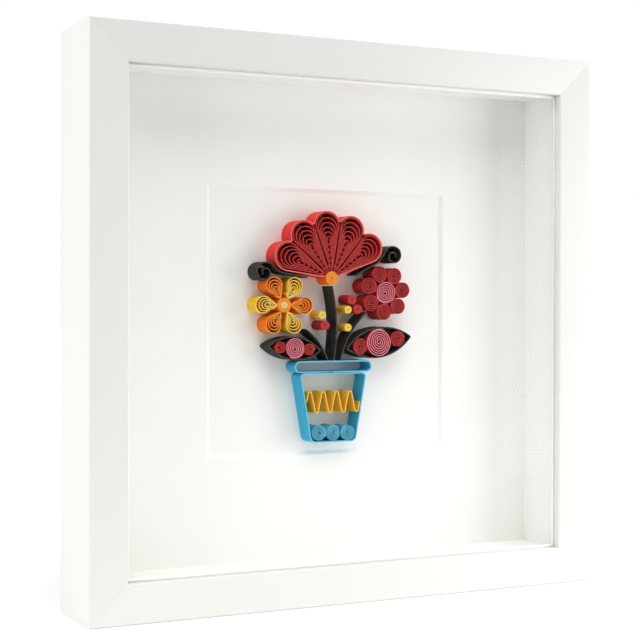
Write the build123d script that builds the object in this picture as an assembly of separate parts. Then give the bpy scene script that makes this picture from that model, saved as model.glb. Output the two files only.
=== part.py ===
"""Deep square box frame with a bevelled mat, holding a posy in a pot made of quilled paper strips.

Millimetres: X to the right, Y from the front of the frame to its back, Z up. The origin is the centre of
the bottom face, which the frame stands on, at mid depth of the rails. Each quilled piece is one long strip of
paper, rolled or bent on edge and glued to the white card behind the mat window.
"""
from build123d import *
import os
from math import asin, atan2, cos, degrees, hypot, radians, sin, sqrt, tan

# ---------------------------------------------------------------- rails
FRAME_WIDTH = 250.0
FRAME_HEIGHT = 250.0
FRAME_DEPTH = 40.0
RAIL_FACE = 17.0  # width of a rail seen from the front
RAIL_WALL = 11.0  # thickness of a rail behind its front lip
LIP_THICKNESS = 4.0  # front lip that the glazing lies against
EDGE_ROUND = 0.6  # rounding of the long front edges

# ---------------------------------------------------------------- what the rails hold, front to back
GLAZING_THICKNESS = 2.0
BACK_RECESS = 5.0  # from the rear of the rails to the back panel
MAT_THICKNESS = 1.5
WINDOW_WIDTH = 122.0  # mat window, measured at its front edge
WINDOW_HEIGHT = 122.0
WINDOW_BEVEL = 45.0  # slope of the cut edge, degrees
CARD_THICKNESS = 0.5
BACK_THICKNESS = 3.0
SPACER_THICKNESS = 5.4
FIT_GAP = 0.5  # clearance round the glazing, mat, card and back panel
SPACER_GAP = 0.3  # clearance between a spacer strip and its rail

# ---------------------------------------------------------------- metal fittings
POINT_THICKNESS = 0.5  # flexible points that hold the back panel in
POINT_WIDTH = 9.0
POINT_REACH = 12.0  # out of the wall, over the back panel
POINT_SET = 6.0  # into the wall
POINT_TIP_WIDTH = 4.0
POINT_SPACING = 110.0  # between the two points on one rail
V_NAIL_THICKNESS = 0.5
V_NAIL_LEG = 3.4
V_NAIL_LENGTH = 9.0
V_NAIL_PLACES = (2.2, 6.6)  # of the bend, in from the outer faces of both rails
HANGER_WIDTH = 42.0
HANGER_HEIGHT = 8.0
HANGER_THICKNESS = 0.8
HANGER_FOOT = 8.0  # flat foot at each end, where its nail goes through
HANGER_STAND_OFF = 1.4  # gap behind the bridge that carries the teeth
HANGER_BEND = 40.0  # slope of the bends beside the feet, degrees
HANGER_TEETH = 9
TOOTH_PITCH = 2.0
TOOTH_DEPTH = 1.3
HANGER_NAIL_SHANK = 1.2  # diameter
HANGER_NAIL_HEAD = 3.0
HANGER_NAIL_HEAD_THICKNESS = 0.7
HANGER_NAIL_LENGTH = 8.0
NAIL_CLEARANCE = 0.1  # round the shank in the hanger's hole

# ---------------------------------------------------------------- quilled strips
STRIP_WIDTH = 10.0  # height of the paper relief above the card
COIL_PAPER = 0.36  # thickness of a strip in a coil
OUTLINE_PAPER = 0.55  # thickness of the doubled strips of outlines and stems
FOLD_RADIUS = 0.45  # of the centreline at a pinched fold
SEAM_GAP = 0.06  # glue between a strip's end and the turn beneath it
SHAPE_GAP = 0.2  # glue between two shapes that lie side by side
LAP = 2.5  # of a strip's outer end over the flank of a teardrop
COIL_EYE = 1.4  # diameter of the innermost turn of a loose coil
TIGHT_HOLE = 0.8  # diameter of the hole that the quilling needle leaves in a tight coil

# ---------------------------------------------------------------- the design on the card
ART_MARGIN = 8.5  # least bare card between the design and the edges of the window
ART_GRID = 105.0  # height of the design in the units it is laid out in
ART_SCALE = (min(WINDOW_WIDTH, WINDOW_HEIGHT) - 2 * ART_MARGIN) / ART_GRID

# ---------------------------------------------------------------- planes that follow from these
FRONT = -FRAME_DEPTH / 2
REAR = FRAME_DEPTH / 2
GLAZING_FRONT = FRONT + LIP_THICKNESS
SPACER_FRONT = GLAZING_FRONT + GLAZING_THICKNESS
BACK_REAR = REAR - BACK_RECESS
BACK_FRONT = BACK_REAR - BACK_THICKNESS
CARD_FRONT = BACK_FRONT - CARD_THICKNESS
MAT_FRONT = CARD_FRONT - MAT_THICKNESS
MIDDLE = FRAME_HEIGHT / 2
SHEET_WIDTH = FRAME_WIDTH - 2 * (RAIL_WALL + FIT_GAP)
SHEET_HEIGHT = FRAME_HEIGHT - 2 * (RAIL_WALL + FIT_GAP)
HANGER_MIDDLE = FRAME_HEIGHT - RAIL_WALL / 2
HANGER_NAILS = [across * (HANGER_WIDTH - HANGER_FOOT) / 2 for across in (-1, 1)]

# the card's face, seen from the front: right and up from the middle of the window, and out towards the viewer
CARD_PLANE = Plane(origin=(0, CARD_FRONT, MIDDLE), x_dir=(1, 0, 0), z_dir=(0, -1, 0))

parts = {}


# ================================================================ centrelines of strips
# A strip seen from the front is a chain of bends. A bend is (length, turn): a line where turn is 0, and
# otherwise an arc that turns by that many degrees, to the left where it is positive.


def swing(radius, turn):
    return (radius * radians(abs(turn)), float(turn))


def line(length):
    """A line of the design, in its own units."""
    return (length * ART_SCALE, 0.0)


def arc(radius, turn):
    """An arc of the design, in its own units."""
    return swing(radius * ART_SCALE, turn)


def moved(place, heading, distance):
    angle = radians(heading)
    return (place[0] + distance * cos(angle), place[1] + distance * sin(angle))


def along(place, heading, length, turn):
    """The point and heading that a bend reaches from a place: its chord lies half way through its turn."""
    if turn == 0.0:
        return moved(place, heading, length), heading
    half = radians(turn) / 2
    return moved(place, heading + turn / 2, length * sin(half) / half), heading + turn


def follow(bends):
    """The end point and heading of a chain of bends that leaves the middle, heading right."""
    place, heading = (0.0, 0.0), 0.0
    for length, turn in bends:
        place, heading = along(place, heading, length, turn)
    return place, heading


def seam_open(bends):
    """A closed chain, cut short so that its two ends don't quite touch."""
    length, turn = bends[-1]
    kept = length - SEAM_GAP
    return bends[:-1] + [(kept, turn * kept / length)]


class Strip:
    """A strip of paper on edge. at is a point of the design in its own units, which the strip's line passes
    with the given heading after its first bends, as many as held says. The line is the middle of the paper,
    or its left face where outside is true."""

    def __init__(self, bends, at, heading, paper, held=0, outside=False):
        (x, y), turned = follow(bends[:held])
        heading -= turned
        angle = radians(heading)
        place = (
            at[0] * ART_SCALE - x * cos(angle) + y * sin(angle),
            at[1] * ART_SCALE - x * sin(angle) - y * cos(angle),
        )
        self.left = 0.0 if outside else paper / 2
        self.right = self.left - paper
        self.spans = []
        for length, turn in bends:
            self.spans.append((place, heading, length, turn))
            place, heading = along(place, heading, length, turn)

    def point(self, span, share, side):
        """A point of a span, at a distance to the left of the strip's line."""
        place, heading, length, turn = span
        place, heading = along(place, heading, length * share, turn * share)
        return moved(place, heading + 90, side)

    def face_edges(self, side):
        edges = []
        for span in self.spans:
            start, middle, end = (self.point(span, share, side) for share in (0, 0.5, 1))
            edges.append(Line(start, end) if span[3] == 0 else ThreePointArc(start, middle, end))
        return edges

    def solid(self, plane=CARD_PLANE, width=STRIP_WIDTH):
        left, right = self.face_edges(self.left), self.face_edges(self.right)
        caps = [Line(left[0] @ 0, right[0] @ 0), Line(left[-1] @ 1, right[-1] @ 1)]
        outline = Wire([edge for curve in left + right + caps for edge in curve.edges()])
        return extrude(plane * Face(outline), amount=width, dir=plane.z_dir)


# ================================================================ coils


def round_half(length, width):
    return [swing(length / 2, 180)]


def drop_half(length, width):
    """Half a turn of a teardrop, from its pinched tip to the middle of its bowl."""
    bowl = width / 2
    between = length - bowl - FOLD_RADIUS
    if between <= bowl - FOLD_RADIUS + 0.05:
        return round_half(length, width)
    lean = degrees(asin((bowl - FOLD_RADIUS) / between))
    flank = sqrt(between**2 - (bowl - FOLD_RADIUS) ** 2)
    return [swing(FOLD_RADIUS, 90 - lean), (flank, 0.0), swing(bowl, 90 + lean)]


def leaf_half(length, width, fold=FOLD_RADIUS):
    """Half a turn of a leaf shape, which is pinched at both ends."""
    reach, rise = length / 2 - fold, width / 2 - fold
    if rise < 0.1 or reach <= rise + 0.05:
        return round_half(length, width)
    radius = (reach**2 + rise**2) / (2 * rise)
    lean = degrees(asin(reach / radius))
    return [swing(fold, 90 - lean), swing(radius + fold, 2 * lean), swing(fold, 90 - lean)]


def coil(half, tip, toward, length, width, turns, eye_place=None):
    """A loose coil, rolled inwards from its outer end at tip and lying from there in direction toward.
    Length and width are over the paper. eye_place is how far along its length its innermost turn is, from 0
    to 1: where it isn't given, this is the middle of the bowl. The outer end laps a straight flank."""
    length, width = length * ART_SCALE - COIL_PAPER, width * ART_SCALE - COIL_PAPER
    outer = half(length, width)
    lean = 90 - outer[0][1] if len(outer) > 1 else 90.0
    tip_pitch = (COIL_PAPER + SEAM_GAP) / sin(radians(lean))
    eye_middle = length - width / 2 if eye_place is None else length * eye_place
    near_pitch = (eye_middle - COIL_EYE / 2 - tip_pitch) / (turns - 1)
    far_pitch = (length - eye_middle - COIL_EYE / 2) / (turns - 1)
    slimming = (width - COIL_EYE) / (2 * turns - 1)
    bends, low, high = [], 0.0, length
    for turn in range(turns):
        bends += half(high - low, width - 2 * turn * slimming)
        low += tip_pitch if turn == 0 else near_pitch
        bends += reversed(half(high - low, width - (2 * turn + 1) * slimming))
        high -= far_pitch
    lap = []
    if len(outer) > 1 and outer[1][1] == 0.0:
        lap = [(min(LAP, outer[1][0] / 2), 0.0), outer[0]]
    start = moved(tip, toward, COIL_PAPER / 2 / ART_SCALE)
    return Strip(lap + bends, start, toward - 90, COIL_PAPER, held=len(lap))


def round_coil(centre, radius, turns, seam=90.0):
    """A round coil whose outer end lies in direction seam from its centre."""
    return coil(round_half, moved(centre, seam, radius), seam + 180, 2 * radius, 2 * radius, turns, 0.5)


def tight_coil(centre, radius, hole=TIGHT_HOLE / 2):
    """A coil rolled with no space between its turns."""
    disc = Circle(radius * ART_SCALE) - Circle(hole)
    place = Location((centre[0] * ART_SCALE, centre[1] * ART_SCALE, 0))
    return extrude(CARD_PLANE * (place * disc), amount=STRIP_WIDTH)


def bow(start, end, turn, paper=OUTLINE_PAPER):
    """A strip that runs from start to end in one arc."""
    across, up = end[0] - start[0], end[1] - start[1]
    radius = hypot(across, up) / (2 * sin(radians(abs(turn)) / 2))
    heading = degrees(atan2(up, across)) - turn / 2
    return Strip([arc(radius, turn)], start, heading, paper)


# ================================================================ the design


def pot():
    """A tapered pot with a rim, a crimped band and a row of coils."""
    middle, floor = -2.0, -54.4
    base, corner, side, lean, shoulder = 9.0, 2.4, 27.5, 80.0, 1.3
    half = [line(base), arc(corner, lean), line(side), arc(shoulder, 180 - lean)]
    (top, height), _ = follow(half)
    half.append((top, 0.0))
    other_half = list(reversed(half))
    outline = Strip(seam_open(half + other_half), (middle, floor), 0, OUTLINE_PAPER, outside=True)
    parts["pot"] = outline.solid()

    rim_half, rim_radius = 17.0, 2.1
    paper = OUTLINE_PAPER / ART_SCALE
    rim_floor = floor + height / ART_SCALE + 2 * paper + SHAPE_GAP
    rim = [line(rim_half), arc(rim_radius, 180), line(2 * rim_half), arc(rim_radius, 180), line(rim_half)]
    parts["pot_rim"] = Strip(seam_open(rim), (middle, rim_floor), 0, OUTLINE_PAPER, outside=True).solid()

    run, bend, slope, waves = 8.4, 0.82, 77.5, 4
    crimp = [line(run / 2), arc(bend, -2 * slope), line(run), arc(bend, 2 * slope), line(run / 2)] * waves
    (across, _), _ = follow([(0.001, slope)] + crimp)
    start = (middle - across / ART_SCALE / 2, floor + 17.8)
    parts["pot_crimp"] = Strip(crimp, start, slope, COIL_PAPER).solid()

    radius, spacing = 3.5, 7.4
    coils = [
        round_coil((middle + step * spacing, floor + radius + SHAPE_GAP), radius, 4, 40 + 70 * step).solid()
        for step in (-1, 0, 1)
    ]
    parts["pot_coils"] = Compound(children=coils)
    return rim_floor + 2 * rim_radius + paper + SHAPE_GAP


def fan_petal_width(hub, length, spacing):
    """The width at which petals round a hub just fit side by side."""
    share = sin(radians(spacing / 2))
    return (2 * (hub + length) * share - SHAPE_GAP) / (1 + share)


def fan():
    """Five long teardrops side by side, wrapped in one strip, on a tight coil."""
    centre, facing, spacing, count, hub, length = (-3.0, 20.0), 96.0, 30.0, 5, 3.4, 26.6
    width = fan_petal_width(hub, length, spacing)
    first = facing - spacing * (count - 1) / 2
    for index in range(count):
        angle = first + index * spacing
        drop = coil(drop_half, moved(centre, angle, hub), angle, length, width, 6, 0.56)
        parts[f"fan_petal_{index + 1}"] = drop.solid()

    # the wrap lies round each bowl, dips between two bowls and runs down both outer flanks
    bowl = (width / 2 + SHAPE_GAP) * ART_SCALE
    dip = 1.0
    chord = 2 * (hub + length - width / 2) * sin(radians(spacing / 2)) * ART_SCALE
    reach = degrees(asin(chord / 2 / (bowl + dip)))  # from the line between two bowls' outsides
    tip = (FOLD_RADIUS + COIL_PAPER / 2) / ART_SCALE
    between = (length - width / 2 - tip) * ART_SCALE
    lean = degrees(asin((width / 2 - tip) * ART_SCALE / between))
    flank = sqrt(between**2 - ((width / 2 - tip) * ART_SCALE) ** 2)
    crown = 2 * (spacing / 2 + reach)
    wrap = [(flank, 0.0), swing(bowl, 90 + lean + crown / 2)]
    wrap += [swing(dip, spacing - crown), swing(bowl, crown)] * (count - 2)
    wrap += [swing(dip, spacing - crown), swing(bowl, 90 + lean + crown / 2), (flank, 0.0)]
    bowl_centre = moved(centre, first, hub + length - width / 2)
    start_heading = first - lean
    touch = moved(bowl_centre, start_heading - 90, bowl / ART_SCALE)
    parts["fan_wrap"] = Strip(wrap, touch, start_heading, OUTLINE_PAPER, held=1, outside=True).solid()

    parts["fan_hub"] = tight_coil(centre, hub - SHAPE_GAP - 0.1)


def daisy():
    """Six teardrops of two colours round a tight coil of two colours."""
    centre, facing, count, hub, length, width = (-27.0, 7.6), 0.0, 6, 3.5, 10.6, 8.2
    for index in range(count):
        angle = facing + index * 360 / count
        colour = "orange" if index % 2 == 0 else "yellow"
        drop = coil(drop_half, moved(centre, angle, hub), angle, length, width, 4, 0.5)
        parts[f"daisy_petal_{colour}_{index // 2 + 1}"] = drop.solid()
    core = 1.5
    parts["daisy_core"] = tight_coil(centre, core)
    parts["daisy_ring"] = tight_coil(centre, hub - SHAPE_GAP, core * ART_SCALE + SEAM_GAP)


def round_flower():
    """Seven round coils round a larger one."""
    centre, facing, count, middle = (25.0, 13.6), 8.0, 7, 5.0
    share = sin(radians(180 / count))
    petal = ((middle + SHAPE_GAP) * share - SHAPE_GAP / 2) / (1 - share)
    parts["round_flower_middle"] = round_coil(centre, middle, 5, 200.0).solid()
    for index in range(count):
        angle = facing + index * 360 / count
        place = moved(centre, angle, middle + SHAPE_GAP + petal)
        parts[f"round_flower_petal_{index + 1}"] = round_coil(place, petal, 4, angle + 150).solid()


def leaf(name, base, heading, length, width, turns):
    """A leaf outline with three round coils along its middle, each as large as fits."""
    half = leaf_half(length * ART_SCALE, width * ART_SCALE, FOLD_RADIUS / 2)
    outline = seam_open(half + half)
    parts[f"{name}_outline"] = Strip(outline, base, heading - 90, OUTLINE_PAPER, outside=True).solid()
    side = (length**2 + width**2) / (4 * width)  # radius of each side of the leaf
    middle = width / 2 - SHAPE_GAP
    inner, clear, offset = side - SHAPE_GAP, middle + SHAPE_GAP, side - width / 2
    end = (inner**2 - clear**2 - offset**2) / (2 * (inner + clear))
    centre = moved(base, heading, length / 2)
    parts[f"{name}_coil_middle"] = round_coil(centre, middle, turns, heading + 60).solid()
    for place, way in (("lower", 180), ("upper", 0)):
        spot = moved(centre, heading + way, middle + SHAPE_GAP + end)
        parts[f"{name}_coil_{place}"] = round_coil(spot, end, max(3, turns - 2), heading + way).solid()


def curl(name, gate, heading, side):
    """A thin strip that runs out beside the fan, passes a gate between two flowers and ends in an open curl,
    to the left where side is 1 and to the right where it is -1."""
    spiral = [arc(radius, side * 110) for radius in (4.6, 3.7, 2.9, 2.1, 1.4)]
    bends = [arc(150, 4 * side), arc(11, -42 * side)] + spiral
    parts[name] = Strip(bends, gate, heading, OUTLINE_PAPER, held=1).solid()


def posy(soil):
    """Stems, leaves, flowers and berries, from the top of the pot upwards."""
    parts["stem_middle"] = bow((-2.0, soil), (-3.0, 16.4), 26).solid()
    parts["stem_left"] = bow((-5.0, soil), (-16.2, -3.4), 38).solid()
    parts["stem_right"] = bow((1.4, soil), (15.0, 4.4), -34).solid()
    fan()
    daisy()
    round_flower()
    leaf("right_leaf", (5.4, -12.2), 9.0, 33.0, 13.0, 6)
    leaf("left_leaf", (-9.2, -13.0), 175.0, 25.0, 9.6, 5)
    curl("curl_right", (19.1, 26.4), 26.0, -1)
    curl("curl_left", (-25.6, 21.7), 174.0, 1)
    for name, radius, places in (
        ("berries_crimson", 2.2, ((7.4, 10.2), (10.4, 5.8), (-6.4, -1.6))),
        ("berries_yellow", 1.8, ((5.4, 5.6), (-7.8, 3.2), (5.4, -2.6))),
    ):
        parts[name] = Compound(children=[tight_coil(place, radius) for place in places])


# ================================================================ frame pieces


def block(x, y, z):
    """A box between pairs of coordinates."""
    size = (x[1] - x[0], y[1] - y[0], z[1] - z[0])
    return Pos((x[0] + x[1]) / 2, (y[0] + y[1]) / 2, (z[0] + z[1]) / 2) * Box(*size)


def mitred(section_face, length, thickness):
    """A length of moulding along X, with its outer face on Z = 0 and its ends cut to 45 degrees."""
    bar = extrude(Plane.YZ.offset(-length / 2) * section_face, amount=length)
    half = length / 2
    short = half - thickness
    plan = make_face(Polyline((-half, 0), (half, 0), (short, thickness), (-short, thickness), close=True))
    return bar & extrude(Plane.XZ * plan, amount=FRAME_DEPTH, both=True)


def set_in(side, shape, inset=0.0):
    """A shape made for the bottom rail's place, moved to one side of the frame."""
    places = {
        "bottom": Pos(0, 0, inset),
        "left": Pos(inset - FRAME_WIDTH / 2, 0, MIDDLE) * Rot(0, 90, 0),
        "right": Pos(FRAME_WIDTH / 2 - inset, 0, MIDDLE) * Rot(0, -90, 0),
        "top": Pos(0, 0, FRAME_HEIGHT - inset) * Rot(0, 180, 0),
    }
    return places[side] * shape


def side_length(side):
    return FRAME_WIDTH if side in ("bottom", "top") else FRAME_HEIGHT


def rail_section():
    """Rail seen along its length: (depth, in from the outer face)."""
    section = make_face(
        Polyline(
            (FRONT, 0),
            (REAR, 0),
            (REAR, RAIL_WALL),
            (GLAZING_FRONT, RAIL_WALL),
            (GLAZING_FRONT, RAIL_FACE),
            (FRONT, RAIL_FACE),
            close=True,
        )
    )
    return fillet(section.vertices().group_by(Axis.X)[0], EDGE_ROUND)


def flex_point(place):
    """A thin steel point, set in the wall, with a tapered tongue over the back panel."""
    half, tip = POINT_WIDTH / 2, POINT_TIP_WIDTH / 2
    inner, shoulder = RAIL_WALL - POINT_SET, RAIL_WALL + POINT_REACH / 2
    end = RAIL_WALL + POINT_REACH
    right = [(half, inner), (half, shoulder), (tip, end)]
    left = [(-x, z) for x, z in reversed(right)]
    plan = make_face(Polyline(*right, *left, close=True))
    plane = Plane(origin=(place, BACK_REAR, 0), x_dir=(1, 0, 0), z_dir=(0, -1, 0))
    return extrude(plane * plan, amount=-POINT_THICKNESS)


def flex_points(side):
    return [set_in(side, flex_point(place)) for place in (-POINT_SPACING / 2, POINT_SPACING / 2)]


def v_nails():
    """Bent steel plates that hold the four mitres together, two at each corner."""
    nails = []
    for across in (-1, 1):
        for up in (-1, 1):
            corner_x, corner_z = across * FRAME_WIDTH / 2, MIDDLE + up * FRAME_HEIGHT / 2
            for place in V_NAIL_PLACES:
                near, far = place, place + V_NAIL_LEG
                thick = near + V_NAIL_THICKNESS
                bend = [(near, near), (far, near), (far, thick), (thick, thick), (thick, far), (near, far)]
                points = [(corner_x - across * x, corner_z - up * z) for x, z in bend]
                plan = make_face(Polyline(*points, close=True))
                plane = Plane(origin=(0, REAR, 0), x_dir=(1, 0, 0), z_dir=(0, -1, 0))
                nails.append(extrude(plane * plan, amount=V_NAIL_LENGTH))
    return nails


def along_y(radius, x, z, y_from, y_to):
    """A round bar through the frame's depth."""
    plane = Plane(origin=(x, y_from, z), x_dir=(1, 0, 0), z_dir=(0, 1, 0))
    return extrude(plane * Circle(radius), amount=y_to - y_from)


def hanger():
    """Sawtooth hanger: a steel strip with two flat feet and a raised bridge, toothed below."""
    half, foot, rise = HANGER_WIDTH / 2, HANGER_WIDTH / 2 - HANGER_FOOT, HANGER_STAND_OFF
    ramp = rise / tan(radians(HANGER_BEND))
    lower = [(-half, 0), (-foot, 0), (ramp - foot, rise), (foot - ramp, rise), (foot, 0), (half, 0)]
    upper = [(x, y + HANGER_THICKNESS) for x, y in reversed(lower)]
    edge = (0, REAR, HANGER_MIDDLE - HANGER_HEIGHT / 2)
    from_below = Plane(origin=edge, x_dir=(1, 0, 0), z_dir=(0, 0, 1))
    from_front = Plane(origin=edge, x_dir=(1, 0, 0), z_dir=(0, -1, 0))
    plate = extrude(from_below * make_face(Polyline(*lower, *upper, close=True)), amount=HANGER_HEIGHT)
    for tooth in range(HANGER_TEETH):
        left = (tooth - HANGER_TEETH / 2) * TOOTH_PITCH
        right, peak = left + TOOTH_PITCH, left + TOOTH_PITCH / 2
        notch = make_face(Polyline((left, 0), (right, 0), (peak, TOOTH_DEPTH), close=True))
        plate -= extrude(from_front * notch, amount=-(rise + 2 * HANGER_THICKNESS))
    for x in HANGER_NAILS:
        radius = HANGER_NAIL_SHANK / 2 + NAIL_CLEARANCE
        plate -= along_y(radius, x, HANGER_MIDDLE, REAR, REAR + HANGER_THICKNESS)
    return plate


def hanger_nail(x):
    outside = REAR + HANGER_THICKNESS
    shank = along_y(HANGER_NAIL_SHANK / 2, x, HANGER_MIDDLE, outside - HANGER_NAIL_LENGTH, outside)
    head = along_y(HANGER_NAIL_HEAD / 2, x, HANGER_MIDDLE, outside, outside + HANGER_NAIL_HEAD_THICKNESS)
    return shank + head


def rails():
    """Four mitred rails, slotted for the metal that is driven into them."""
    driven = v_nails()
    nails = [hanger_nail(x) for x in HANGER_NAILS]
    points = []
    for side in ("bottom", "top", "left", "right"):
        rail = set_in(side, mitred(rail_section(), side_length(side), RAIL_FACE))
        side_points = flex_points(side)
        for metal in side_points + driven + (nails if side == "top" else []):
            rail -= metal
        points += side_points
        parts[f"rail_{side}"] = rail
    parts["flex_points"] = Compound(children=points)
    parts["corner_v_nails"] = Compound(children=driven)
    parts["hanger"] = hanger()
    parts["hanger_nails"] = Compound(children=nails)


def spacers():
    """Four mitred strips inside the rails, which hold the mat away from the glazing."""
    inset = RAIL_WALL + SPACER_GAP
    section = make_face(
        Polyline(
            (SPACER_FRONT, 0),
            (MAT_FRONT, 0),
            (MAT_FRONT, SPACER_THICKNESS),
            (SPACER_FRONT, SPACER_THICKNESS),
            close=True,
        )
    )
    for side in ("bottom", "top", "left", "right"):
        strip = mitred(section, side_length(side) - 2 * inset, SPACER_THICKNESS)
        parts[f"spacer_{side}"] = set_in(side, strip, inset)


def sheet(front, rear):
    """A flat sheet as large as the rails take."""
    half_width, half_height = SHEET_WIDTH / 2, SHEET_HEIGHT / 2
    return block((-half_width, half_width), (front, rear), (MIDDLE - half_height, MIDDLE + half_height))


def mat_board():
    """The mat, with a window whose cut edge slopes in towards the card."""
    plane = Plane(origin=(0, MAT_FRONT, MIDDLE), x_dir=(1, 0, 0), z_dir=(0, 1, 0))
    lean = MAT_THICKNESS * tan(radians(WINDOW_BEVEL))
    front = plane * Rectangle(WINDOW_WIDTH, WINDOW_HEIGHT)
    rear = plane.offset(MAT_THICKNESS) * Rectangle(WINDOW_WIDTH - 2 * lean, WINDOW_HEIGHT - 2 * lean)
    return sheet(MAT_FRONT, CARD_FRONT) - loft([front, rear])


def sheets():
    parts["glazing"] = sheet(GLAZING_FRONT, SPACER_FRONT)
    parts["mat_board"] = mat_board()
    parts["art_card"] = sheet(CARD_FRONT, BACK_FRONT)
    parts["back_panel"] = sheet(BACK_FRONT, BACK_REAR)


rails()
spacers()
sheets()
posy(pot())

os.makedirs("parts", exist_ok=True)
for name, shape in parts.items():
    export_step(shape, f"parts/{name}.step")
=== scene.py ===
"""Finishes and studio for a white box frame that holds a posy of quilled paper strips.

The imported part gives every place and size. Rails, fittings and paper pieces are finished copies of its nodes,
and the boards and the glazing are its own nodes with new materials. Everything is in metres: X to the right,
Y from the front of the frame to its back, Z up, and the frame stands on Z 0.
"""

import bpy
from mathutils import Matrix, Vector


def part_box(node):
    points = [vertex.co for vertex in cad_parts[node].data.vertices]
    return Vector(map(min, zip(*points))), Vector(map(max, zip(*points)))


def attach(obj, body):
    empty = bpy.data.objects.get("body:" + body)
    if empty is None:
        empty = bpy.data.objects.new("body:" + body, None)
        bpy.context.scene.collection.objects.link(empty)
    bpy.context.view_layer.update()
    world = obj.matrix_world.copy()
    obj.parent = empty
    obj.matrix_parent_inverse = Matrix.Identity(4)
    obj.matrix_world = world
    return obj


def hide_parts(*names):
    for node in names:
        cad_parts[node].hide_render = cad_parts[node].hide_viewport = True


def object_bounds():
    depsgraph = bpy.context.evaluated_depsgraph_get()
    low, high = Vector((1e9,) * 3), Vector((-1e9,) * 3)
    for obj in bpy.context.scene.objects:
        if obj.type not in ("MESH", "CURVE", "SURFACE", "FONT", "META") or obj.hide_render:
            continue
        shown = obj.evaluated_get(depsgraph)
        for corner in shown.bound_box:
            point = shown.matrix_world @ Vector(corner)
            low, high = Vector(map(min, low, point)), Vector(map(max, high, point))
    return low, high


bl_info = {
    "name": "Quilled posy in a box frame",
    "version": (1, 0, 0),
    "blender": (4, 5, 0),
    "location": "3D View > Sidebar > Quilling",
    "description": "Finishes a box frame, its mat, its quilled paper posy and the studio round them",
    "category": "Object",
}

from math import cos, hypot, pi, radians, sin

import bmesh
import bpy
from bpy.props import FloatProperty, FloatVectorProperty, IntProperty, PointerProperty
from mathutils import Matrix, Vector, noise

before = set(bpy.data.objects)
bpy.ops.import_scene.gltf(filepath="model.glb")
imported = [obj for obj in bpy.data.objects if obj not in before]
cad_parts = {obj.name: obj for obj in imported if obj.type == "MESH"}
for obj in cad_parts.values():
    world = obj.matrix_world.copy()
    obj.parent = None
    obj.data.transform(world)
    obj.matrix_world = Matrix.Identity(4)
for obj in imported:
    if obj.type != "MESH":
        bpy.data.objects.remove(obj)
cad_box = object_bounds()

MM = 0.001
LOW, HIGH = cad_box

WHITE = (1.0, 1.0, 1.0, 1.0)
FLAT_FACE = 0.85  # a board's face is flat where its normal points this much along Y, and else a bevelled cut
# The front cut edge that CUT_EDGE picks out gets a paler colour, partly the paper's own and partly a painted highlight.
CUT_EDGE = -0.8  # Y of the normal, below which a strip's face is its front cut edge
NEAR = 0.01 * MM  # vertices closer than this to a line or plane lie on it
MERGE = 0.002 * MM  # vertices closer than this are one
COPLANAR = radians(0.2)  # faces that meet at less than this are one
LONG_EDGE = 0.1  # the rails' lengthwise edges are longer
REAR_ZONE = 6 * MM  # depth at the back where the rails' edges are softened
LONG_WAVE, SHORT_WAVE, SWAY = 14, 1.6, 17  # sizes in mm of the strips' unevenness
GROOVE = 0.12  # share of a turn, at each side, that slopes into the groove between two turns
FLOOR_HALF = 6.0
FLOOR_DROP = 0.05 * MM
RIGHT_BOX, RIGHT_AIM, RIGHT_SIZE = (0.44, -0.3, 0.14), (0.1, 0.0, 0.12), (0.3, 0.35)
LEFT_BOX, LEFT_SIZE = (-1.0, -0.3, 0.17), (0.6, 0.7)
SKY_FROM, SKY_SPREAD = Vector((-0.1, -0.62, 1.0)), radians(50)

RAILS = ("rail_bottom", "rail_top", "rail_left", "rail_right")
SPACERS = ("spacer_bottom", "spacer_top", "spacer_left", "spacer_right")

# strips of the crimson and pink papers, by parts of their nodes' names, and the tight rolls
CRIMSON = ("fan_petal_", "round_flower_petal_", "leaf_coil_lower", "leaf_coil_upper")
PINK = ("round_flower_middle", "leaf_coil_middle")
ROLLS = {
    "fan_hub": "orange",
    "daisy_core": "pale_yellow",
    "daisy_ring": "orange",
    "berries_crimson": "crimson",
    "berries_yellow": "yellow",
}


# ---------------------------------------------------------------- colours and nodes


def linear(code):
    """Linear RGBA of an sRGB hex colour."""
    parts = [int(code[place : place + 2], 16) / 255 for place in (0, 2, 4)]
    return tuple(p / 12.92 if p <= 0.04045 else ((p + 0.055) / 1.055) ** 2.4 for p in parts) + (1.0,)


def add(tree, kind, sockets=None, **settings):
    """Adds a node, with its settings, and with a value or another node's output for each socket named."""
    node = tree.nodes.new(kind)
    for name, value in settings.items():
        setattr(node, name, value)
    for name, value in (sockets or {}).items():
        if isinstance(value, bpy.types.NodeSocket):
            tree.links.new(value, node.inputs[name])
        else:
            node.inputs[name].default_value = value
    return node


def new_material(name):
    """An empty material and its node tree."""
    material = bpy.data.materials.new(name)
    material.use_nodes = True
    material.node_tree.nodes.clear()
    return material, material.node_tree


def surface(tree, kind, sockets):
    """Adds a shader and leads it to the material's output."""
    add(tree, "ShaderNodeOutputMaterial", {"Surface": add(tree, kind, sockets).outputs[0]})


def per_mm(size):
    """Scale of a noise whose grains are so many millimetres across."""
    return 1 / (size * MM)


def grains(tree, place, size, detail, **sockets):
    """Noise whose grains are so many millimetres across."""
    sockets |= {"Vector": place, "Scale": per_mm(size), "Detail": detail}
    return add(tree, "ShaderNodeTexNoise", sockets).outputs["Fac"]


def blend(tree, share, first, second):
    """A mix of two colours, with this share of the second."""
    return add(tree, "ShaderNodeMix", {0: share, 6: first, 7: second}, data_type="RGBA").outputs[2]


def relief(tree, height, strength, depth):
    """Normals of a surface that a pattern raises by so many millimetres."""
    sockets = {"Height": height, "Strength": strength, "Distance": depth * MM}
    return add(tree, "ShaderNodeBump", sockets).outputs[0]


def stretched(tree, place, scale):
    return add(tree, "ShaderNodeMapping", {"Vector": place, "Scale": scale}).outputs["Vector"]


def dimmed(colour, share):
    return tuple(part * share for part in colour[:3]) + (1.0,)


# ---------------------------------------------------------------- materials


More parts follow.
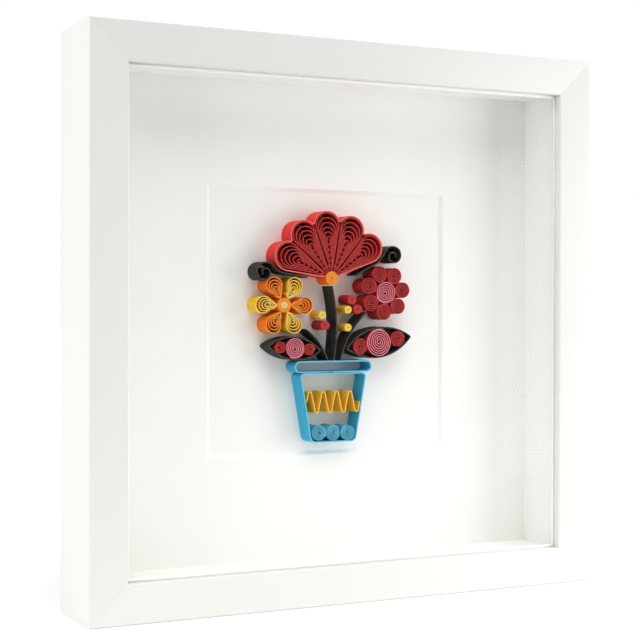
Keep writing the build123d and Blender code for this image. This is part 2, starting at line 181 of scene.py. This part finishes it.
def foil_wrapped_fibreboard(name, colour, stretch):
    """White paper foil, hot-pressed round a fibreboard moulding: a dull satin skin, even in colour, with a
    shallow embossed grain of 0.5 mm that runs along the rail. stretch is the grain's scale on each axis."""
    material, tree = new_material(name)
    place = add(tree, "ShaderNodeTexCoord").outputs["Object"]
    emboss = grains(tree, stretched(tree, place, stretch), 0.5, 3.0)
    tint = blend(tree, grains(tree, place, 60, 1.0), colour, dimmed(colour, 0.965))
    dull = add(tree, "ShaderNodeMapRange", {"Value": emboss, "To Min": 0.38, "To Max": 0.5}).outputs[0]
    skin = {"Base Color": tint, "Roughness": dull, "Normal": relief(tree, emboss, 0.12, 0.05), "IOR": 1.47}
    surface(tree, "ShaderNodeBsdfPrincipled", skin)
    return material


def mat_board(name, face, core):
    """Thick mat board cut with a bevel: a dull face paper with a fine felt grain, and a bare core, whiter and
    softer, that shows on the sloping cut."""
    material, tree = new_material(name)
    where = add(tree, "ShaderNodeTexCoord")
    place = where.outputs["Object"]
    facing = add(tree, "ShaderNodeSeparateXYZ", {"Vector": where.outputs["Normal"]}).outputs["Y"]
    slope = add(tree, "ShaderNodeMath", {0: facing}, operation="ABSOLUTE").outputs[0]
    cut = add(tree, "ShaderNodeMath", {0: slope, 1: FLAT_FACE}, operation="LESS_THAN").outputs[0]
    paper = blend(tree, grains(tree, place, 35, 2.0), face, dimmed(face, 0.96))
    felt = relief(tree, grains(tree, place, 0.9, 4.0), 0.25, 0.06)
    board = {"Base Color": blend(tree, cut, paper, core), "Roughness": 0.85, "Normal": felt, "IOR": 1.45}
    surface(tree, "ShaderNodeBsdfPrincipled", board)
    return material


def smooth_card(name, colour, grain=0.7):
    """Uncoated white card: flat and dull, with a faint cloudy look-through and a fine wove grain in mm."""
    material, tree = new_material(name)
    place = add(tree, "ShaderNodeTexCoord").outputs["Object"]
    tint = blend(tree, grains(tree, place, 12, 3.0), colour, dimmed(colour, 0.965))
    wove = relief(tree, grains(tree, place, grain, 3.0), 0.15, 0.04)
    card = {"Base Color": tint, "Roughness": 0.8, "Normal": wove, "IOR": 1.45}
    surface(tree, "ShaderNodeBsdfPrincipled", card)
    return material


def dyed_paper(name, dye, cut_edge_and_highlight):
    """Matt dyed quilling paper, slit into strips: even colour with soft clouds on the broad sides, and a paler colour
    with torn fibres on the cut edge that faces forwards, partly the fibres' own and partly a painted highlight where
    the front light falls on that edge. The 0.5 mm fibres are coarser than real ones, so that they show. Some light
    passes through the thin strips."""
    material, tree = new_material(name)
    where = add(tree, "ShaderNodeTexCoord")
    place = where.outputs["Object"]
    facing = add(tree, "ShaderNodeSeparateXYZ", {"Vector": where.outputs["Normal"]}).outputs["Y"]
    # The forward cut edge takes the paler edge colour: partly paler torn fibres, partly a painted highlight from the
    # front light.
    edge = add(tree, "ShaderNodeMath", {0: facing, 1: CUT_EDGE}, operation="LESS_THAN").outputs[0]
    fibre = grains(tree, place, 0.5, 3.0, Roughness=0.6)
    side = blend(tree, grains(tree, place, 5, 2.0), dimmed(dye, 1.12), dimmed(dye, 0.84))
    # torn holds the edge colour, which is partly painted highlight as well as the fibres' own paler tone.
    torn = blend(tree, fibre, dimmed(cut_edge_and_highlight, 0.86), dimmed(cut_edge_and_highlight, 1.08))
    paper = {"Base Color": blend(tree, edge, side, torn), "Roughness": 0.75, "Specular IOR Level": 0.25}
    paper |= {"Normal": relief(tree, fibre, 0.3, 0.03), "Subsurface Weight": 0.5}
    paper |= {"Subsurface Scale": 0.9 * MM, "Subsurface Radius": (1.0, 0.5, 0.4)}
    surface(tree, "ShaderNodeBsdfPrincipled", paper)
    return material


def hardboard(name, colour):
    """Pressed wood fibre sheet, smooth side out: a hard brown skin with short dark fibres and pale flecks of
    1 mm, and a faint shine."""
    material, tree = new_material(name)
    place = add(tree, "ShaderNodeTexCoord").outputs["Object"]
    fibre = grains(tree, stretched(tree, place, (1.0, 1.0, 2.6)), 1.0, 5.0, Roughness=0.7, Distortion=1.2)
    base = blend(tree, grains(tree, place, 18, 3.0), dimmed(colour, 1.35), dimmed(colour, 0.7))
    spread = add(tree, "ShaderNodeMapRange", {"Value": fibre, "From Min": 0.35, "From Max": 0.65}).outputs[0]
    fleck = blend(tree, spread, dimmed(colour, 0.55), dimmed(colour, 1.7))
    board = {"Base Color": blend(tree, 0.55, base, fleck), "Roughness": 0.5, "IOR": 1.5}
    board |= {"Normal": relief(tree, fibre, 0.3, 0.08)}
    surface(tree, "ShaderNodeBsdfPrincipled", board)
    return material


def rolled_steel(name, colour, rough, spangle):
    """Thin steel strip, rolled: metallic, with fine rolling lines and soft cloudy spangles whose size is
    in mm."""
    material, tree = new_material(name)
    place = add(tree, "ShaderNodeTexCoord").outputs["Object"]
    lines = grains(tree, stretched(tree, place, (1.0, 12.0, 12.0)), 2.5, 2.0)
    cells = grains(tree, place, spangle, 2.0)
    dull = {"Value": cells, "To Min": rough - 0.08, "To Max": rough + 0.12}
    metal = {"Base Color": blend(tree, cells, colour, dimmed(colour, 0.7)), "Metallic": 1.0}
    metal |= {"Roughness": add(tree, "ShaderNodeMapRange", dull).outputs[0], "Normal": relief(tree, lines, 0.2, 0.02)}
    surface(tree, "ShaderNodeBsdfPrincipled", metal)
    return material


def clear_glass(name, tint):
    """Thin picture glass, float-made: quite clear from the front, with a mirror gloss that grows at a slant.
    Its gloss is weaker than bare glass has, as a coated picture glass's is."""
    material, tree = new_material(name)
    gloss = add(tree, "ShaderNodeBsdfGlossy", {"Color": WHITE, "Roughness": 0.02}).outputs[0]
    through = add(tree, "ShaderNodeBsdfTransparent", {"Color": tint}).outputs[0]
    slant = add(tree, "ShaderNodeLayerWeight", {"Blend": 0.5}).outputs["Facing"]
    grown = add(tree, "ShaderNodeMath", {0: slant, 1: 3.5}, operation="POWER").outputs[0]
    share = add(tree, "ShaderNodeMapRange", {"Value": grown, "To Min": 0.0015, "To Max": 0.9}).outputs[0]
    surface(tree, "ShaderNodeMixShader", {0: share, 1: through, 2: gloss})
    return material


def backdrop_paper(name, colour, front):
    """Seamless studio paper, dull with a barely visible tooth: white to the camera, but in front of the frame
    it throws less light back."""
    material, tree = new_material(name)
    place = add(tree, "ShaderNodeTexCoord").outputs["Object"]
    depth = add(tree, "ShaderNodeSeparateXYZ", {"Vector": place}).outputs["Y"]
    ends = {"Value": depth, "From Min": -0.5, "From Max": -0.03}
    share = add(tree, "ShaderNodeMapRange", ends, interpolation_type="SMOOTHSTEP").outputs[0]
    seen = add(tree, "ShaderNodeLightPath").outputs["Is Camera Ray"]
    white = add(tree, "ShaderNodeMath", {0: share, 1: seen}, operation="MAXIMUM").outputs[0]
    tooth = relief(tree, grains(tree, place, 2, 2.0), 0.05, 0.1)
    paper = {"Base Color": blend(tree, white, front, colour), "Roughness": 0.9, "Normal": tooth}
    surface(tree, "ShaderNodeBsdfPrincipled", paper)
    return material


# ---------------------------------------------------------------- pieces from the CAD nodes


def dress(nodes, material):
    """Gives CAD nodes a material in place of their own."""
    for name in nodes:
        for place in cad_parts[name].material_slots:
            place.material = material


def merged_copy(node):
    """A bmesh of a CAD node, its loose triangles merged at their corners."""
    bm = bmesh.new()
    bm.from_mesh(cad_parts[node].data)
    bmesh.ops.remove_doubles(bm, verts=bm.verts, dist=MERGE)
    return bm


def finish_piece(bm, name, material, node, slot, crease=35):
    """Makes a bmesh an object that rides on the frame's only body, and stands for a CAD node if one is named."""
    mesh = bpy.data.meshes.new(name)
    bm.to_mesh(mesh)
    bm.free()
    mesh.shade_smooth()
    mesh.set_sharp_from_angle(angle=radians(crease))
    mesh.materials.append(material)
    piece = bpy.data.objects.new(name, mesh)
    bpy.context.scene.collection.objects.link(piece)
    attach(piece, "root")
    if node:
        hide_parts(node)
    return piece


def islands(bm):
    """The vertices of each loose part of a bmesh."""
    left = set(bm.verts)
    while left:
        group, ends = set(), [left.pop()]
        while ends:
            vert = ends.pop()
            group.add(vert)
            near = {edge.other_vert(vert) for edge in vert.link_edges} & left
            left -= near
            ends.extend(near)
        yield group


def on_mitre(vert):
    """Whether a vertex lies on the mitre between two rails."""
    across = HIGH.x - abs(vert.co.x)
    up = min(vert.co.z - LOW.z, HIGH.z - vert.co.z)
    return abs(across - up) < NEAR


def named(starts):
    """CAD nodes whose name holds one of the given parts."""
    found = sorted(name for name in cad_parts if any(start in name for start in starts))
    if not found:
        raise RuntimeError("no CAD node is named like " + ", ".join(starts))
    return found


# ---------------------------------------------------------------- settings


def size(label, about, millimetres, least=0.0):
    return FloatProperty(
        name=label, description=about, default=millimetres * MM, min=least, unit="LENGTH", precision=5
    )


def colour(label, about, code):
    return FloatVectorProperty(
        name=label, description=about, default=linear(code), size=4, min=0.0, max=1.0, subtype="COLOR"
    )


def angle(label, about, degrees):
    return FloatProperty(name=label, description=about, default=radians(degrees), subtype="ANGLE")


def level(label, about, value, least=0.0):
    return FloatProperty(name=label, description=about, default=value, min=least)


class FrameSettings(bpy.types.PropertyGroup):
    """Finish of the rails, boards, glazing and fittings"""

    foil: colour("Foil", "Paper foil round the rails", "DEDEDA")
    spacer: colour("Spacers", "Board strips between the glazing and the mat", "FAFAF7")
    mat_face: colour("Mat", "Face paper of the mat board", "F6F6F2")
    mat_core: colour("Mat core", "Bare core on the sloping cut", "FAFAF8")
    card: colour("Card", "Card that carries the paper strips", "F4F4F0")
    backing: colour("Back panel", "Hardboard at the back", "7B5638")
    glass: colour("Glass", "What the glazing lets through", "FFFFFF")
    tape: size("Edge tape", "How far the white tape on the glass shows inside the rails", 1.4)
    mitre: size("Mitre softening", "Bevel where two rails meet", 0.12)
    arris: size("Rear arris", "Bevel of the rails' long rear edges", 0.3)
    metal_edge: size("Metal edge", "Bevel of the edges of the steel fittings", 0.08)


class PaperSettings(bpy.types.PropertyGroup):
    """Dyes and unevenness of the quilled strips"""

    crimson: colour("Crimson", "Sides of the crimson strips", "B42626")
    # Each *_edge colour is paler than its side colour: partly the paler torn fibres of the cut edge, partly a painted
    # highlight where the front light falls on the forward cut edge.
    crimson_edge: colour("Crimson edge", "Cut edge of the crimson strips", "BC3A3C")
    red: colour("Red", "Sides of the red wrap", "E63C36")
    red_edge: colour("Red edge", "Cut edge of the red wrap", "F0685E")
    pink: colour("Pink", "Sides of the pink strips", "BE3650")
    pink_edge: colour("Pink edge", "Cut edge of the pink strips", "F68A98")
    orange: colour("Orange", "Sides of the orange strips", "F0760A")
    orange_edge: colour("Orange edge", "Cut edge of the orange strips", "F89A34")
    yellow: colour("Yellow", "Sides of the yellow strips", "F2BC2C")
    yellow_edge: colour("Yellow edge", "Cut edge of the yellow strips", "F8D262")
    pale_yellow: colour("Pale yellow", "Sides of the daisy's core", "F8D67C")
    pale_yellow_edge: colour("Pale yellow edge", "Cut edge of the daisy's core", "FBE094")
    black: colour("Black", "Sides of the black strips", "2A2B27")
    black_edge: colour("Black edge", "Cut edge of the black strips", "3C3D37")
    turquoise: colour("Turquoise", "Sides of the pot's strips", "3AA8CE")
    turquoise_edge: colour("Turquoise edge", "Cut edge of the pot's strips", "6CC0DA")
    unevenness: size("Unevenness", "How far cut edges rise and fall", 0.14)
    paper: size("Paper", "Thickness of a turn in a tight roll", 0.36, 0.1 * MM)
    crown: size("Crown", "Depth of the groove between two turns of a tight roll", 0.22)
    steps: IntProperty(name="Roll steps", description="Facets round a tight roll", default=56, min=12, max=128)


class StudioSettings(bpy.types.PropertyGroup):
    """Camera, floor and lamps"""

    camera: FloatVectorProperty(
        name="Camera", description="Place of the camera", default=(-0.3126, -0.6051, 0.1331), unit="LENGTH", precision=4
    )
    azimuth: angle("Azimuth", "Side the camera looks from", -26.58)
    elevation: angle("Elevation", "Height the camera looks from", 0.61)
    roll: angle("Roll", "Tilt of the camera to its left", 0.157)
    lens: level("Lens", "Focal length in millimetres on a 36 mm sensor", 83.9, 10.0)
    floor: colour("Floor", "Studio paper under and behind the frame", "FAFAFA")
    floor_front: colour("Floor in front", "Studio paper in front of the frame, in the light it throws back", "A4A4A4")
    behind: level("Tent behind", "Strength of the white tent behind the frame", 1.05)
    front: level("Tent in front", "Strength of the white tent in front of it", 0.4)
    sky: level("Sky", "Strength of the broad light from above the camera", 1.38)
    right: level("Right box", "Power of the soft box on the right, in watts", 1.25)
    left: level("Left box", "Power of the soft box on the left, in watts", 3.5)


def paper_material(dye):
    """The material of a dye's strips, made on first use."""
    name = dye + "_quilling_paper"
    shades = bpy.context.scene.quilled_paper
    known = bpy.data.materials.get(name)
    return known or dyed_paper(name, tuple(getattr(shades, dye)), tuple(getattr(shades, dye + "_edge")))


# ---------------------------------------------------------------- operators


class QUILL_OT_rails(bpy.types.Operator):
    """Wrap the four rails in white foil, with crisp mitres and softened rear edges"""

    bl_idname = "quilled.rails"
    bl_label = "Rails"

    def execute(self, context):
        look = context.scene.quilled_frame
        level = foil_wrapped_fibreboard("level_rail_foil", tuple(look.foil), (0.12, 1.0, 1.0))
        upright = foil_wrapped_fibreboard("upright_rail_foil", tuple(look.foil), (1.0, 1.0, 0.12))
        for node in RAILS:
            bm = merged_copy(node)
            bmesh.ops.dissolve_limit(bm, angle_limit=COPLANAR, verts=bm.verts, edges=bm.edges)
            long_rear = [
                edge
                for edge in bm.edges
                if edge.calc_length() > LONG_EDGE and all(vert.co.y > HIGH.y - REAR_ZONE for vert in edge.verts)
                and edge.calc_face_angle(0) > radians(60)
            ]
            bevel = dict(segments=3, profile=0.5, affect="EDGES", material=-1, clamp_overlap=True)
            bmesh.ops.bevel(bm, geom=long_rear, offset=look.arris, **bevel)
            seam = [
                edge
                for edge in bm.edges
                if all(on_mitre(vert) for vert in edge.verts) and edge.calc_face_angle(0) > radians(30)
                and min(vert.co.y for vert in edge.verts) < 0
            ]
            bmesh.ops.bevel(bm, geom=seam, offset=look.mitre, **bevel)
            material = level if node in ("rail_bottom", "rail_top") else upright
            finish_piece(bm, node + "_moulding", material, node, "white_foil", 25)
        return {"FINISHED"}


class QUILL_OT_boards(bpy.types.Operator):
    """Give the spacers, the mat, the card and the back panel their board and paper finishes"""

    bl_idname = "quilled.boards"
    bl_label = "Boards"

    def execute(self, context):
        look = context.scene.quilled_frame
        dress(SPACERS, smooth_card("white_spacer_board", tuple(look.spacer), 1.2))
        dress(["mat_board"], mat_board("white_mat_board", tuple(look.mat_face), tuple(look.mat_core)))
        dress(["art_card"], smooth_card("white_card", tuple(look.card)))
        dress(["back_panel"], hardboard("smooth_hardboard", tuple(look.backing)))
        return {"FINISHED"}


class QUILL_OT_glazing(bpy.types.Operator):
    """Make the front sheet clear picture glass, with white sealing tape round its edge"""

    bl_idname = "quilled.glazing"
    bl_label = "Glazing"

    def execute(self, context):
        look = context.scene.quilled_frame
        dress(["glazing"], clear_glass("clear_picture_glass", tuple(look.glass)))
        left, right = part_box("rail_left")[1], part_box("rail_right")[0]
        bottom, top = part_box("rail_bottom")[1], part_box("rail_top")[0]
        low = Vector((left[0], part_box("glazing")[0][1], bottom[2]))
        high = Vector((right[0], low.y, top[2]))
        bm = bmesh.new()
        bmesh.ops.create_grid(bm, x_segments=1, y_segments=1, size=0.5)
        bmesh.ops.rotate(bm, verts=bm.verts, matrix=Matrix.Rotation(pi / 2, 3, "X"))
        bmesh.ops.scale(bm, verts=bm.verts, vec=(high.x - low.x, 1.0, high.z - low.z))
        bmesh.ops.translate(bm, verts=bm.verts, vec=(low + high) / 2)
        sheet = bm.faces[:]
        bmesh.ops.inset_region(bm, faces=sheet, thickness=look.tape, use_even_offset=True, use_boundary=True)
        bmesh.ops.delete(bm, geom=sheet, context="FACES_ONLY")
        bmesh.ops.recalc_face_normals(bm, faces=bm.faces)
        material = smooth_card("white_sealing_tape", tuple(look.spacer), 0.8)
        tape = finish_piece(bm, "glazing_tape", material, None, "white_spacer")
        solid = tape.modifiers.new("thickness", "SOLIDIFY")
        solid.thickness, solid.offset = 0.1 * MM, 0.0
        return {"FINISHED"}


class QUILL_OT_fittings(bpy.types.Operator):
    """Finish the flexible points, corner nails, hanger and hanger nails in steel, with softened edges"""

    bl_idname = "quilled.fittings"
    bl_label = "Steel fittings"

    def execute(self, context):
        edge = context.scene.quilled_frame.metal_edge
        spring = rolled_steel("bare_spring_steel", linear("B9BBBD"), 0.38, 4)
        zinc = rolled_steel("zinc_plated_steel", linear("C9C6BC"), 0.3, 2.5)
        for node, material, slot in (
            ("flex_points", spring, "spring_steel"),
            ("corner_v_nails", spring, "spring_steel"),
            ("hanger", zinc, "plated_steel"),
            ("hanger_nails", zinc, "plated_steel"),
        ):
            bm = merged_copy(node)
            bmesh.ops.dissolve_limit(bm, angle_limit=COPLANAR, verts=bm.verts, edges=bm.edges)
            sharp = [line for line in bm.edges if line.calc_face_angle(0) > radians(40)]
            bmesh.ops.bevel(
                bm, geom=sharp, offset=edge, segments=2, profile=0.5, affect="EDGES", material=-1, clamp_overlap=True
            )
            finish_piece(bm, node + "_steel", material, node, slot, 30)
        return {"FINISHED"}


def strip_piece(node, dye, slot):
    """A paper strip on edge, copied from its node. Its front edge rises and falls a little, over long waves
    that neighbouring turns share and short ones that set them apart."""
    swell = bpy.context.scene.quilled_paper.unevenness
    bm = merged_copy(node)
    low = min(vert.co.y for vert in bm.verts)
    for vert in bm.verts:
        if vert.co.y < low + NEAR:
            shared = noise.noise(vert.co * per_mm(LONG_WAVE))
            own = noise.noise(vert.co * per_mm(SHORT_WAVE) + Vector((7.0, 0.0, 3.0)))
            vert.co.y += swell * (0.9 * shared + 0.8 * own)
            vert.co.x += 0.5 * swell * noise.noise(vert.co * per_mm(SWAY) + Vector((0.0, 5.0, 9.0)))
    finish_piece(bm, node + "_strip", paper_material(dye), node, slot, 40)


class QUILL_OT_coils(bpy.types.Operator):
    """Make the loose coils of the flowers, leaves and pot from dyed paper strips"""

    bl_idname = "quilled.coils"
    bl_label = "Loose coils"

    def execute(self, context):
        for dye, parts in (
            ("crimson", CRIMSON),
            ("pink", PINK),
            ("orange", ("daisy_petal_orange",)),
            ("yellow", ("daisy_petal_yellow",)),
            ("turquoise", ("pot_coils",)),
        ):
            for node in named(parts):
                strip_piece(node, dye, dye + "_paper")
        return {"FINISHED"}


class QUILL_OT_outlines(bpy.types.Operator):
    """Make the pot, the wrap round the fan, the stems, leaf outlines and curls from doubled strips"""

    bl_idname = "quilled.outlines"
    bl_label = "Outlines and stems"

    def execute(self, context):
        for node in ("pot", "pot_rim"):
            strip_piece(node, "turquoise", "turquoise_paper")
        strip_piece("pot_crimp", "yellow", "yellow_paper")
        strip_piece("fan_wrap", "red", "red_paper")
        for node in named(("stem_", "curl_", "_outline")):
            strip_piece(node, "black", "black_paper")
        return {"FINISHED"}


class QUILL_OT_rolls(bpy.types.Operator):
    """Roll the tight coils at the hearts of the flowers and the berries, turn against turn"""

    bl_idname = "quilled.rolls"
    bl_label = "Tight rolls"

    def execute(self, context):
        shades = context.scene.quilled_paper
        for node, dye in ROLLS.items():
            source, bm = merged_copy(node), bmesh.new()
            for group in islands(source):
                places = [vert.co for vert in group]
                low = Vector(map(min, zip(*places)))
                high = Vector(map(max, zip(*places)))
                centre = (low + high) / 2
                outer = (high.x - low.x) / 2
                hole = min(hypot(place.x - centre.x, place.z - centre.z) for place in places)
                turns = max(2, round((outer - hole) / shades.paper))
                turn = (outer - hole) / turns
                rim = []
                for index in range(turns):
                    rim += [(hole + (index + GROOVE) * turn, 0.0), (hole + (index + 1 - GROOVE) * turn, 0.0)]
                    rim += [(hole + (index + 1) * turn, shades.crown)]
                section = [(hole, shades.crown)] + rim[:-1] + [(outer, 1.5 * shades.crown)]
                verts = [bm.verts.new((centre.x + out, low.y + back, centre.z)) for out, back in section]
                verts.append(bm.verts.new((centre.x + outer, high.y, centre.z)))
                verts.append(bm.verts.new((centre.x + hole, high.y, centre.z)))
                edges = [bm.edges.new(pair) for pair in zip(verts, verts[1:] + verts[:1])]
                whole_turn = dict(cent=centre, axis=(0, 1, 0), angle=2 * pi, steps=shades.steps, use_merge=True)
                bmesh.ops.spin(bm, geom=verts + edges, **whole_turn)
            source.free()
            bmesh.ops.recalc_face_normals(bm, faces=bm.faces)
            finish_piece(bm, node + "_roll", paper_material(dye), node, dye + "_paper", 40)
        return {"FINISHED"}


def soft_box(name, place, target, width, height, power):
    """An area lamp that faces a point."""
    lamp = bpy.data.lights.new(name, "AREA")
    lamp.shape, lamp.size, lamp.size_y, lamp.energy = "RECTANGLE", width, height, power
    holder = bpy.data.objects.new(name, lamp)
    holder.location = place
    holder.rotation_euler = (Vector(target) - Vector(place)).to_track_quat("-Z", "Y").to_euler()
    bpy.context.scene.collection.objects.link(holder)


class QUILL_OT_studio(bpy.types.Operator):
    """Lay the white floor and set up the white tent, the soft boxes and the camera"""

    bl_idname = "quilled.studio"
    bl_label = "Studio"

    def execute(self, context):
        studio = context.scene.quilled_studio
        bm = bmesh.new()
        bmesh.ops.create_grid(bm, x_segments=1, y_segments=1, size=FLOOR_HALF)
        bmesh.ops.translate(bm, verts=bm.verts, vec=(0, 0, LOW.z - FLOOR_DROP))
        mesh = bpy.data.meshes.new("floor")
        bm.to_mesh(mesh)
        bm.free()
        paper = backdrop_paper("seamless_white_paper", tuple(studio.floor), tuple(studio.floor_front))
        mesh.materials.append(paper)
        floor = bpy.data.objects.new("floor", mesh)
        context.scene.collection.objects.link(floor)

        world = bpy.data.worlds.new("white_tent")
        world.use_nodes = True
        tree = world.node_tree
        way = add(tree, "ShaderNodeSeparateXYZ", {"Vector": add(tree, "ShaderNodeTexCoord").outputs["Generated"]})
        ends = {"Value": way.outputs["Y"], "From Min": -0.9, "From Max": 0.3}
        ends |= {"To Min": studio.front, "To Max": studio.behind}
        strength = add(tree, "ShaderNodeMapRange", ends, interpolation_type="SMOOTHSTEP")
        tree.nodes["Background"].inputs["Color"].default_value = WHITE
        seen = add(tree, "ShaderNodeLightPath").outputs["Is Camera Ray"]
        shown = add(tree, "ShaderNodeMix", {0: seen, 2: strength.outputs[0], 3: 1.0}).outputs[0]
        tree.links.new(shown, tree.nodes["Background"].inputs["Strength"])
        context.scene.world = world
        soft_box("right_box", RIGHT_BOX, RIGHT_AIM, *RIGHT_SIZE, studio.right)
        soft_box("left_box", LEFT_BOX, (LOW + HIGH) / 2, *LEFT_SIZE, studio.left)
        sky = bpy.data.lights.new("sky", "SUN")
        sky.energy, sky.angle = studio.sky, SKY_SPREAD
        holder = bpy.data.objects.new("sky", sky)
        holder.rotation_euler = SKY_FROM.to_track_quat("Z", "Y").to_euler()
        context.scene.collection.objects.link(holder)

        camera = bpy.data.objects.new("camera", bpy.data.cameras.new("camera"))
        camera.data.lens = studio.lens
        camera.data.sensor_width = 36.0
        camera.data.clip_start = 0.05
        side, lift = studio.azimuth, studio.elevation
        back = Vector((sin(side) * cos(lift), -cos(side) * cos(lift), sin(lift)))
        right = (-back).cross(Vector((0, 0, 1))).normalized()
        up = back.cross(right)
        turn = Matrix((right, up, back)).transposed().to_4x4() @ Matrix.Rotation(studio.roll, 4, "Z")
        camera.matrix_world = Matrix.Translation(Vector(studio.camera)) @ turn
        context.scene.collection.objects.link(camera)
        context.scene.camera = camera
        context.scene.view_settings.view_transform = "Standard"
        return {"FINISHED"}


OPERATORS = (
    QUILL_OT_rails,
    QUILL_OT_boards,
    QUILL_OT_glazing,
    QUILL_OT_fittings,
    QUILL_OT_coils,
    QUILL_OT_outlines,
    QUILL_OT_rolls,
    QUILL_OT_studio,
)


class QUILL_PT_panel(bpy.types.Panel):
    """Settings and steps of the quilled posy"""

    bl_idname = "QUILL_PT_panel"
    bl_label = "Quilled posy"
    bl_space_type = "VIEW_3D"
    bl_region_type = "UI"
    bl_category = "Quilling"

    def draw(self, context):
        for operator in OPERATORS:
            self.layout.operator(operator.bl_idname)
        for settings in (context.scene.quilled_frame, context.scene.quilled_paper, context.scene.quilled_studio):
            box = self.layout.box()
            for name in settings.__annotations__:
                box.prop(settings, name)


CLASSES = (FrameSettings, PaperSettings, StudioSettings) + OPERATORS + (QUILL_PT_panel,)


def register():
    for item in CLASSES:
        bpy.utils.register_class(item)
    bpy.types.Scene.quilled_frame = PointerProperty(type=FrameSettings)
    bpy.types.Scene.quilled_paper = PointerProperty(type=PaperSettings)
    bpy.types.Scene.quilled_studio = PointerProperty(type=StudioSettings)


def unregister():
    del bpy.types.Scene.quilled_studio
    del bpy.types.Scene.quilled_paper
    del bpy.types.Scene.quilled_frame
    for item in reversed(CLASSES):
        bpy.utils.unregister_class(item)


def main():
    register()
    bpy.ops.quilled.rails()
    bpy.ops.quilled.boards()
    bpy.ops.quilled.glazing()
    bpy.ops.quilled.fittings()
    bpy.ops.quilled.coils()
    bpy.ops.quilled.outlines()
    bpy.ops.quilled.rolls()
    bpy.ops.quilled.studio()


if __name__ == "__main__":
    main()
